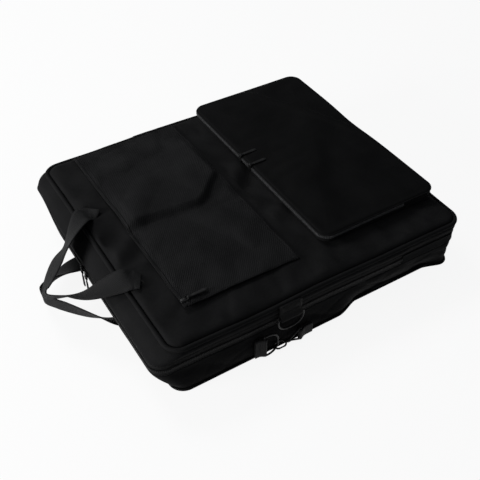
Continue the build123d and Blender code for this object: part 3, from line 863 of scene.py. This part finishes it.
def make_flat_pocket():
    """Patch pocket: coarse cloth with a hem, a zipped mouth and a tucked side gusset."""
    low, high = pocket_low, pocket_high
    sheet = pocket_grid("flat_pocket_cloth", low.x, high.x, low.y, high.y, 84, 150,
                        pocket_height, 1.3 * MM, POCKET_CLOTH)
    dressed(sheet, "pocket_fabric", "flat_pocket")

    def side_strip(name, a, b, normal, *nodes):
        """Side of the pocket from a to b, tucked in under its edge."""
        normal = Vector(normal)

        def point(i, k):
            p = Vector(a).lerp(Vector(b), i / STRIP_STEPS)
            high_z = pocket_height(p.x, p.y) - 1.2 * MM
            low_z = front_height(p.x, p.y, front_edge(p.x, p.y)) - 0.6 * MM
            q = Vector((p.x, p.y, low_z + (high_z - low_z) * k / 2)) - normal * STRIP_TUCK[k]
            return settle(q), settle(q - normal * 1.0 * MM)
        # The side strips take the darker copy of the panel cloth: painted shade under the pocket's
        # edge.
        strip = two_layers(name, STRIP_STEPS, 3, point, SHADED_PANEL_CLOTH, "cover", flip=True)
        dressed(strip, "panel_fabric", *nodes)
    y0, y1, x1 = low.y + 1.5 * MM, high.y - 1.5 * MM, high.x - 1.5 * MM
    side_strip("pocket_near_gusset", (low.x, y0, 0), (high.x, y0, 0), (0, -1, 0),
               "flat_pocket_gusset")
    side_strip("pocket_far_gusset", (low.x, y1, 0), (high.x, y1, 0), (0, 1, 0))
    side_strip("pocket_end_gusset", (x1, low.y, 0), (x1, high.y, 0), (1, 0, 0))

    steps = 120
    for name, x, y in (("seam_stitching", high.x - 3.5 * MM, None),
                       ("seam_stitching_2", high.x - 8 * MM, None),
                       ("near_stitching", None, low.y + 3 * MM),
                       ("far_stitching", None, high.y - 3 * MM),
                       ("mouth_stitching", low.x + 9.5 * MM, None)):
        path = []
        for i in range(steps + 1):
            at_x = low.x + (high.x - low.x) * i / steps if x is None else x
            at_y = low.y + (high.y - low.y) * i / steps if y is None else y
            path.append(settle(Vector((at_x, at_y, pocket_height(at_x, at_y) + 0.15 * MM))))
        dressed(stitch_row(f"pocket_{name}", path, "cover"), "piping")

    tape = pocket_grid("pocket_zip_tape", low.x - 1.0 * MM, low.x + 4.0 * MM, low.y, high.y,
                       4, 150, lambda x, y: pocket_height(x, y) + 0.25 * MM, 0.8 * MM, TAPE)
    dressed(tape, "zip_tape", "flat_pocket_zip")
    verts, faces = [], []
    pitch = MAIN_TOOTH[0]
    for i in range(int((high.y - low.y - 6 * MM) / pitch)):
        y = low.y + 3 * MM + i * pitch
        at = settle(Vector((low.x - 0.6 * MM, y, pocket_height(low.x, y) + 0.1 * MM)))
        add_block(verts, faces, [
            at + Vector((sx * 0.8 * MM, sy * pitch, sz * 1.2 * MM)) for sx in (1, -1)
            for sy, sz in ((-0.35, -0.5), (0.35, -0.5), (0.25, 0.7), (-0.25, 0.7))])
    dressed(make_object("pocket_zip_teeth", verts, faces, DARK_TEETH, "cover", flat=True),
            "zip_chain")


# ---- box pocket
def box_wall_dent(p, t):
    """Soft side of the box pocket, dented near its far end."""
    q = box_settle(p)
    hold = math.sin(math.pi * min(max(t, 0), 1)) ** 0.8
    return hold * (rough(q.x, q.y, q.z, 0.05, 3.3) * 1.4 * MM
                   - crease(q.x, q.y, q.z, 0.06, 1.3) * 1.2 * MM)


def box_settle(p):
    """How the box pocket leans: a dent in its base edge side and a slack corner."""
    x, y, z = p
    high = smooth(box_low.z, lid_high.z, z)
    dent = bump(y, 0.045, 0.05) * smooth(0.2, 0.256, x) * 3.5 * MM * (0.4 + 0.6 * high)
    sway = rough(x, y, 0.3, 0.2, 4.4) * 1.2 * MM
    return Vector((x - dent, y + sway * high, z + sway * 0.5))


LID_ROLL = 5 * MM
LID_CROWN = 2.2 * MM


def lid_height(x, y, d):
    """Top of the box pocket's lid: rolled edge, low crown and slack."""
    roll = math.sqrt(max(0.0, 1 - (1 - min(d / LID_ROLL, 1)) ** 2))
    z = lid_high.z - 3.2 * MM + 2.6 * MM * roll
    z += LID_CROWN * smooth(4 * MM, 70 * MM, d)
    z += rough(x, y, 0.5, 0.12, 9.9) * 1.0 * MM * smooth(6 * MM, 50 * MM, d)
    return z + lid_slack(x, y) * smooth(5 * MM, 14 * MM, d)


def make_box_pocket():
    """Raised pocket: cloth wall, zip tapes and teeth, padded lid with piped edge."""
    seam, edge = box_high.z, lid_low.z
    # The box pocket's wall takes the darker copy of the panel cloth: painted shade.
    wall = ring_wall("box_pocket_wall_cloth", BOX, box_low.z - 1 * MM, BOX, seam, 10, "cover",
                     SHADED_PANEL_CLOTH, box_wall_dent, 2 * MM, 0.0, box_settle)
    dressed(wall, "panel_fabric", "box_pocket_wall")
    rows = [(8 * MM, edge + 0.3 * MM), (1.2 * MM, edge + 0.2 * MM), (0.0, edge + 0.8 * MM),
            (0.0, edge + 2.0 * MM), (0.3 * MM, lid_high.z - 3.2 * MM)]
    rows += [(d * MM, None) for d in LID_ROWS]
    lid = padded_panel("box_pocket_lid_cloth", BOX, rows, 24, lid_height, "box_lid",
                       LID_CLOTH, box_settle, 3 * MM)
    dressed(lid, "panel_fabric", "box_pocket_lid")
    for half, body, low, high, teeth_z in (
            ("lower", "cover", seam - 5 * MM, seam - 0.4 * MM, seam - 0.7 * MM),
            ("upper", "box_lid", edge + 0.3 * MM, edge + 3.2 * MM, edge + 1.0 * MM)):
        tape = ring_wall(f"box_zip_tape_{half}", BOX, low, BOX, high, 3, body, TAPE,
                         lambda p, t: 0.0, 0.8 * MM, 0.9 * MM, box_settle, box_zip_end_x)
        dressed(tape, "zip_tape", f"box_zip_{half}")
        # The box pocket's teeth take the lighter teeth colour: a painted highlight.
        row = teeth_row(f"box_zip_teeth_{half}", rim(BOX, teeth_z, 0.4 * MM, box_settle),
                        box_zip_end_x, body, BOX_TOOTH, TEETH)
        dressed(row, "zip_chain")
    for name, z, radius, body in (
            ("lid_edge_piping", lid_high.z - 2.6 * MM, 1.1 * MM, "box_lid"),
            ("box_wall_piping", seam - 6.2 * MM, 0.9 * MM, "cover")):
        dressed(tube(name, rim(BOX, z, 0.5 * MM, box_settle), radius, PIPING_CLOTH, body),
                "piping")


# ---- webbing
def curve_through(points, steps):
    """Smooth open curve through vectors of any kind, steps per span."""
    out = []
    last = len(points) - 1
    for i in range(last):
        a, b = points[max(i - 1, 0)], points[i]
        c, d = points[i + 1], points[min(i + 2, last)]
        for k in range(steps):
            t = k / steps
            out.append(0.5 * ((2 * b) + (c - a) * t + (2 * a - 5 * b + 4 * c - d) * t ** 2
                              + (3 * b - a - 3 * c + d) * t ** 3))
    out.append(points[last].copy())
    return out


def ribbon(name, centres, sides, width, thickness, material, body, steps=10):
    """Flat webbing along a curve; sides gives the way its width points at each point.

    No part of it goes lower than the floor the case lies on."""
    path = curve_through([Vector(c) for c in centres], steps)
    turns = curve_through([Vector(w).normalized() for w in sides], steps)
    cuts = 8
    verts, edge = [], 2 * (cuts + 1)
    for i, (p, w) in enumerate(zip(path, turns)):
        ahead = path[min(i + 1, len(path) - 1)]
        behind = path[max(i - 1, 0)]
        along = (ahead - behind).normalized()
        across = (w - along * w.dot(along)).normalized()
        up = across.cross(along)
        p.z = max(p.z, abs(across.z) * width / 2 + thickness / 2 + FLOOR_GAP)
        for side in (1, -1):
            for k in range(cuts + 1):
                u = 1 - 2 * k / cuts
                rim = 1 - 0.45 * abs(u) ** 10
                lift = up * side * thickness / 2 * rim
                verts.append(p + across * (u * side * width / 2) + lift)
    faces = grid_faces(len(path), edge, wrap_columns=True)
    end_caps(faces, len(path), edge)
    return make_object(name, verts, faces, material, body)


def box_stitch(name, centre, along, across, length, width, body, normal):
    """Rectangle of stitches with a cross in it."""
    u, w = Vector(along) * length / 2, Vector(across) * width / 2
    lift = Vector(normal) * 0.3 * MM
    corners = [u + w, w - u, -u - w, u - w]
    corners = [Vector(centre) + c + lift for c in corners]
    path = corners + [corners[0], corners[2], corners[1], corners[3]]
    fine = []
    for a, b in zip(path, path[1:]):
        fine.extend(a.lerp(b, k / 6) for k in range(6))
    fine.append(path[-1])
    return stitch_row(name, fine, body, length=2.2 * MM, gap=1.0 * MM)


# Stations of each handle's loop: (reach, across, height) for handle_point, and the way the
# webbing's width points there.
FRONT_LOOP = [((0.06, 0.76, 0.97), (0, 1, -0.15)), ((0.4, 0.42, 0.78), (0, 0.75, -0.6)),
              ((0.64, 0.27, 0.52), (-0.2, 0.8, -0.5)), ((0.86, 0.08, 0.25), (-0.2, 0.7, -0.6)),
              ((0.96, -0.03, 0.1), (-0.1, 0.6, -0.75)), ((0.9, -0.15, 0.04), (0.2, 0.5, -0.8)),
              ((0.62, -0.36, 0.15), (0.3, 0.7, -0.7)), ((0.34, -0.7, 0.64), (0.2, 0.95, -0.15)),
              ((0.07, -0.9, 0.96), (0, 0.95, 0.2))]
BACK_LOOP = [((-0.02, 0.81, 0.1), (0, -1, 0)), ((0.28, 0.74, 0.3), (0, -0.95, 0.2)),
             ((0.6, 0.55, 0.6), (-0.1, -0.7, 0.6)), ((0.85, 0.36, 0.86), (-0.1, -0.4, 0.9)),
             ((0.96, 0.18, 0.9), (-0.1, -0.2, 0.95)), ((0.84, -0.04, 0.8), (0, -0.4, 0.9)),
             ((0.7, -0.22, 0.72), (0, -0.4, 0.9)), ((0.45, -0.52, 0.55), (-0.1, -0.5, 0.8)),
             ((0.16, -0.78, 0.3), (-0.15, -0.85, 0.45)), ((-0.02, -0.81, 0.12), (0, -1, 0.05))]


def on_front(x, y, lift):
    """Point on the padded front, lifted clear of it."""
    return settle(Vector((x, y, front_height(x, y, front_edge(x, y)) + lift)))


def handle_point(low, high, reach, across, height):
    """Point in a handle's box: 0 at its hinge to 1 at its tip; low to high."""
    return Vector((high.x - reach * (high.x - low.x), across * high.y,
                   low.z + height * (high.z - low.z)))


def hang_handle(half, stations, hinge):
    """Handle of webbing along the stations, baked in place from its root on; hinge is not used."""
    band = ribbon(f"{half}_carry_handle", [p for p, _ in stations], [w for _, w in stations],
                  WEBBING, WEBBING_THICK, WEB_Y, None)
    dressed(band, "webbing", f"{half}_handle", f"{half}_handle_anchor_near",
            f"{half}_handle_anchor_far")
    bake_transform(band)


def make_handles():
    """Two carry handles of twisted webbing, sewn down at both ends."""
    low, high = size("front_handle")
    root = size("front_handle_anchor_near")[1].x
    lift = WEBBING_THICK * 0.8
    stations = [(on_front(root, 0.94 * high.y, lift), (0.25, 1, 0)),
                (on_front(root - 9 * MM, 0.86 * high.y, lift), (0.2, 1, 0))]
    stations += [(handle_point(low, high, *place), way) for place, way in FRONT_LOOP]
    stations += [(on_front(root - 9 * MM, -0.98 * high.y, lift), (-0.2, 1, 0.05)),
                 (on_front(root, -1.03 * high.y, lift), (-0.25, 1, 0))]
    hang_handle("front", stations, handle_point(low, high, 0, 0, 1))
    for name, side, lean in (("near", -0.99, -0.25), ("far", 0.9, 0.25)):
        centre = on_front(root - 7 * MM, side * high.y, lift + WEBBING_THICK / 2)
        across = Vector((lean, 1, 0)).normalized()
        row = box_stitch(f"front_handle_stitching_{name}", centre,
                         across.cross(Vector((0, 0, 1))), across, 11 * MM,
                         WEBBING - 8 * MM, "cover", (0, 0, 1))
        dressed(row, "webbing")

    low, high = size("back_handle")
    seat_low, seat_high = size("back_handle_anchor_near")
    seat = Vector((seat_high.x, -(seat_low.y + seat_high.y) / 2, (seat_low.z + seat_high.z) / 2))
    stations = [(seat, (0, -1, 0))]
    for place, way in BACK_LOOP:
        point = handle_point(low, high, *place)
        rise = abs(Vector(way).normalized().z) * WEBBING / 2
        point.z = max(point.z, rise + 3 * MM)
        stations.append((point, way))
    stations.append((Vector((seat.x, -seat.y, seat.z)), (0, -1, 0)))
    hang_handle("back", stations, handle_point(low, high, 0, 0, 0.1))


# ---- tabs, rings and strap end
def folded(name, width, body, material, place, bar, inner, plane, out, back, way):
    """Webbing folded round a bar: in along the case, round the bar and back over itself.

    place(s, d) is a point s along the case and d out of it; out is where it starts and
    its last point before the bar; back gives its (s, d) points after it."""
    loop = plane - inner
    turn = math.copysign(1, bar - out[0])
    path = [place(s, inner) for s in (*out, bar)]
    for degrees in (45, 90, 135, 180):
        a = math.radians(degrees)
        path.append(place(bar + turn * loop * math.sin(a), plane - loop * math.cos(a)))
    path += [place(s, d) for s, d in back]
    return ribbon(name, path, [way] * len(path), width, WEBBING_THICK * 0.9, material, body,
                  steps=5)


def make_tabs():
    """Webbing tabs that hold the rings at the front and back seams."""
    thick = WEBBING_THICK
    for side, sign in (("near", -1), ("far", 1)):
        low, high = size(f"front_tab_{side}")
        ring_low, ring_high = size(f"front_ring_{side}")
        x = (low.x + high.x) / 2
        inner = min(abs(low.y), abs(high.y)) + thick / 2
        plane = (abs(ring_low.y) + abs(ring_high.y)) / 2
        bar = ring_high.z - (ring_high.y - ring_low.y) / 2
        # The front tabs take the darker copy of the webbing: painted shade.
        band = folded(f"front_webbing_tab_{side}", WEBBING, "cover", SHADED_WEB_X,
                      lambda s, d: Vector((x, sign * d, s)), bar, inner, plane,
                      (high.z - 1 * MM, bar + 8 * MM),
                      ((bar + 9 * MM, inner + thick), (high.z - 8 * MM, inner + thick),
                       (high.z - 0.6 * MM, inner + thick * 0.7)), (1, 0, 0))
        dressed(band, "webbing", f"front_tab_{side}")
        centre = (x, sign * (inner + thick * 1.5), (bar + high.z) / 2 + 4 * MM)
        row = box_stitch(f"front_tab_stitching_{side}", centre, (0, 0, 1), (1, 0, 0),
                         high.z - bar - 15 * MM, WEBBING - 8 * MM, "cover", (0, sign, 0))
        dressed(row, "webbing")

        low, high = size(f"back_tab_{side}")
        ring_low, ring_high = size(f"back_ring_{side}")
        plane = (abs(ring_low.y) + abs(ring_high.y)) / 2
        bar = ring_low.x + (ring_high.y - ring_low.y) / 2
        z = (ring_low.z + ring_high.z) / 2
        start, near = low.x + 1 * MM, bar - 7 * MM
        band = folded(f"back_webbing_tab_{side}", WEBBING, "case", WEB_Y,
                      lambda s, d: Vector((s, sign * d, z)), bar, inner, plane, (start, near),
                      ((near, inner + thick), (start, inner + thick * 0.8)), (0, 0, 1))
        dressed(band, "webbing", f"back_tab_{side}")


def make_strap_end():
    """End of the shoulder strap, folded round the eye and sewn at the back seam."""
    low, high = size("strap_end_web")
    eye_low, eye_high = size("snap_eye")
    inner = min(abs(low.y), abs(high.y)) + WEBBING_THICK / 2
    z = (eye_low.z + eye_high.z) / 2
    bar = eye_high.x - 1.5 * MM
    start, near = high.x - 1 * MM, bar + 8 * MM
    band = folded("strap_end_webbing", (high.z - low.z) * 0.95, "case", WEB_Y,
                  lambda s, d: Vector((s, -d, z)), bar, inner, -(eye_low.y + eye_high.y) / 2,
                  (start, near), ((near, inner + WEBBING_THICK),
                                  (start, inner + WEBBING_THICK * 0.8)), (0, 0, 1))
    dressed(band, "webbing", "strap_end_web")


def refinish(nodes, material):
    """Better material on CAD nodes whose shape stays."""
    for node in nodes:
        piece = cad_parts[node]
        for slot in piece.material_slots:
            slot.link = "OBJECT"
            slot.material = material


def make_metal():
    """Rings, snap hook, eye and gate keep their shape and get black metal."""
    refinish([f"{seam}_ring_{side}" for seam in ("front", "back") for side in ("near", "far")]
             + ["snap_hook", "snap_eye", "snap_gate"], METAL)
    refinish(["front_board", "back_board"], LINING)


# ---- sliders and pulls
def lofted(name, sections, material, body, place, sides=16):
    """Closed body through rounded sections (y, z, half width, half height, squareness)."""
    verts = []
    for y, z, half_w, half_h, square in sections:
        for k in range(sides):
            a = 2 * math.pi * k / sides
            c, s = math.cos(a), math.sin(a)
            x = half_w * math.copysign(abs(c) ** (2 / square), c)
            h = half_h * math.copysign(abs(s) ** (2 / square), s)
            verts.append(place(x, y, z + h))
    faces = grid_faces(len(sections), sides, wrap_columns=True)
    end_caps(faces, len(sections), sides)
    return make_object(name, verts, faces, material, body)


def joined(name, pieces, body):
    """One object from several."""
    for piece in pieces:
        piece.select_set(True)
    bpy.context.view_layer.objects.active = pieces[0]
    with bpy.context.temp_override(active_object=pieces[0], selected_objects=pieces,
                                   selected_editable_objects=pieces):
        bpy.ops.object.join()
    pieces[0].name = name
    pieces[0].select_set(False)
    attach(pieces[0], body)
    return pieces[0]


def axis_of(spans, choose):
    """The axis that choose, max or min, takes from three spans, and its unit vector."""
    pick = choose(range(3), key=lambda i: spans[i])
    return pick, Vector([1.0 if i == pick else 0.0 for i in range(3)])


def make_slider(node, pull_node, along, face, bridge=1.0):
    """Zip slider with a bridge, and a moulded pull on it, at a CAD slider's place.

    bridge lowers the slider's back where its pin stands higher than the others. Sections
    are in units of the slider's half length, height, half width and height."""
    along, face = Vector(along), Vector(face)
    across = along.cross(face)
    low, high = size(node)
    middle = (low + high) / 2
    long, wide = (abs((high - low).dot(way)) / 2 for way in (along, across))
    tall = abs((high - low).dot(face))
    foot = middle - face * tall / 2
    b = bridge

    def part(name, rows, shift=0.0):
        def place(x, y, z):
            return foot + across * (x + shift * wide) + along * y + face * z
        rows = [(y * long, z * tall, w * wide, h * tall, square) for y, z, w, h, square in rows]
        return lofted(f"{node}_{name}", rows, METAL, None, place)
    plates = [part(f"plate_{index}", [(-1, z, 0.45, 0.08, 3), (-0.8, z, 0.72, 0.13, 3),
                                      (-0.1, z, 0.86, 0.14, 4), (0.3, z, 0.98, 0.14, 4),
                                      (0.5, z, 0.9, 0.1, 3)])
              for index, z in enumerate((0.14, 0.62 * b))]
    plates.append(part("bridge", [
        (-0.6, 0.7 * b, 0.16, 0.06, 3), (-0.45, 0.82 * b, 0.2, 0.1 * b, 3),
        (0.1, 0.88 * b, 0.2, 0.1 * b, 3), (0.6, 0.8 * b, 0.2, 0.12 * b, 3),
        (0.85, 0.62 * b, 0.18, 0.2 * b, 3)]))
    for side in (-1, 1):
        plates.append(part(f"ear_{side + 1}", [
            (0.25, 0.5, 0.1, 0.35, 4), (0.7, 0.55, 0.13, 0.42, 4),
            (0.96, 0.55, 0.12, 0.3, 3)], side * 0.82))
    dressed(joined(f"{node}_detail", plates, node), "slider_metal", node)

    low, high = size(pull_node)
    centre, spans = (low + high) / 2, high - low
    reach_axis, reach = axis_of(spans, max)
    thin_axis, thin = axis_of(spans, min)
    if (centre - middle).dot(reach) < 0:
        reach = -reach
    side_way = reach.cross(thin)
    a, b, c = spans[3 - reach_axis - thin_axis] / 2, spans[thin_axis] / 2, spans[reach_axis] / 2
    rows = [(-1, 0.55, 0.55, 3), (-0.94, 0.92, 0.95, 3), (-0.85, 0.95, 0.9, 3),
            (-0.72, 0.7, 0.42, 3), (-0.55, 0.66, 0.38, 3)]
    for rib in range(6):
        y = -0.42 + 0.19 * rib
        rows += [(y, 0.8 + 0.03 * rib, 0.44, 4), (y + 0.09, 0.84 + 0.03 * rib, 0.62, 4)]
    rows += [(0.78, 0.95, 0.6, 4), (0.93, 0.85, 0.5, 3), (1, 0.5, 0.3, 2.5)]
    pull = lofted(f"{pull_node}_detail", [(y * c, 0, w * a, h * b, s) for y, w, h, s in rows],
                  RUBBER, pull_node,
                  lambda x, y, z: centre + side_way * x + reach * y + thin * z)
    dressed(pull, "pull", pull_node)


def make_sliders():
    """Sliders and pulls of all three zips."""
    make_slider("flat_pocket_slider", "flat_pocket_pull", (1, 0, 0), (0, 0, 1), bridge=0.6)
    for side in ("near", "far"):
        make_slider(f"box_slider_{side}", f"box_pull_{side}", (0, 0, 1), (-1, 0, 0))
        make_slider(f"main_slider_{side}", f"main_pull_{side}", (0, 0, -1), (-1, 0, 0))


# ---- gore and inside
def make_gore():
    """Unzipped cloth that joins the two halves round the base edge, and the lid's hinge."""
    ring = outline_points(ZIP, 1.3 * MM)
    first = next(i for i, (p, _) in enumerate(ring) if p.x < zip_end_x and p.y > 0)
    last = max(i for i, (p, _) in enumerate(ring) if p.x < zip_end_x and p.y < 0)
    run = ring[last:] + ring[:first + 1]
    low_z, high_z = zip_high.z - 8 * MM, zip_high.z + 8 * MM
    rows = 16

    def gore_point(r, c):
        t = r / rows
        p, n = run[c]
        q = settle(Vector((p.x, p.y, low_z + (high_z - low_z) * t)))
        pinch = math.sin(math.pi * t) * 0.5 - rough(q.x, q.y, q.z, 0.03, 6.1) * 0.3
        outer = q - n * pinch * MM
        return outer, outer - n * TAPE_THICK
    gore = two_layers("base_gore", rows, len(run), gore_point, PANEL_CLOTH, None)
    dressed(gore, "panel_fabric")
    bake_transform(gore)

    lid_seam = (box_high.z + lid_low.z) / 2
    steps = 70
    near_y, far_y = box_low.y + BOX_CORNER, box_high.y - BOX_CORNER

    def hinge_point(r, c):
        y = near_y + (far_y - near_y) * c / (steps - 1)
        z = lid_seam + (r / rows - 0.5) * 8 * MM
        out = 0.9 + 0.3 * rough(0, y, z, 0.02, 1.9)
        outer = box_settle(Vector((BOX[1] + out * MM, y, z)))
        return outer, outer - Vector((0.8 * MM, 0, 0))
    # The hinge takes the darker copy of the panel cloth: painted shade.
    hinge = two_layers("box_lid_hinge", rows, steps, hinge_point, SHADED_PANEL_CLOTH, None)
    dressed(hinge, "panel_fabric")
    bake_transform(hinge)


def make_inside():
    """Elastic bands across the inside of the back."""
    for number in (1, 2):
        low, high = size(f"retaining_band_{number}")
        middle = (low.x + high.x) / 2
        path = []
        for k in range(13):
            t = k / 12
            y = low.y + 1 * MM + (high.y - low.y - 2 * MM) * t
            path.append(Vector((middle + rough(middle, y, 0, 0.1, 3.7) * 1.5 * MM, y,
                                high.z + 0.3 * MM + 1.2 * MM * math.sin(math.pi * t))))
        band = ribbon(f"elastic_band_{number}", path, [(1, 0, 0)] * 13, high.x - low.x,
                      high.z - low.z, ELASTIC, "case", steps=4)
        dressed(band, "webbing", f"retaining_band_{number}")


front_slack = simulate_slack(front_low, front_high, 6 * MM, front_held, front_start, 0.007,
                             3 * MM)
pocket_slack = simulate_slack(pocket_low, pocket_high, 5 * MM, pocket_held, pocket_start,
                              0.006, 3 * MM)
lid_slack = simulate_slack(box_low, box_high, 6 * MM, lid_held, lid_start, 0.003, 1.5 * MM)
make_camera()
make_stage()
make_walls()
make_panels()
make_flat_pocket()
make_box_pocket()
make_handles()
make_tabs()
make_strap_end()
make_metal()
make_sliders()
make_gore()
make_inside()
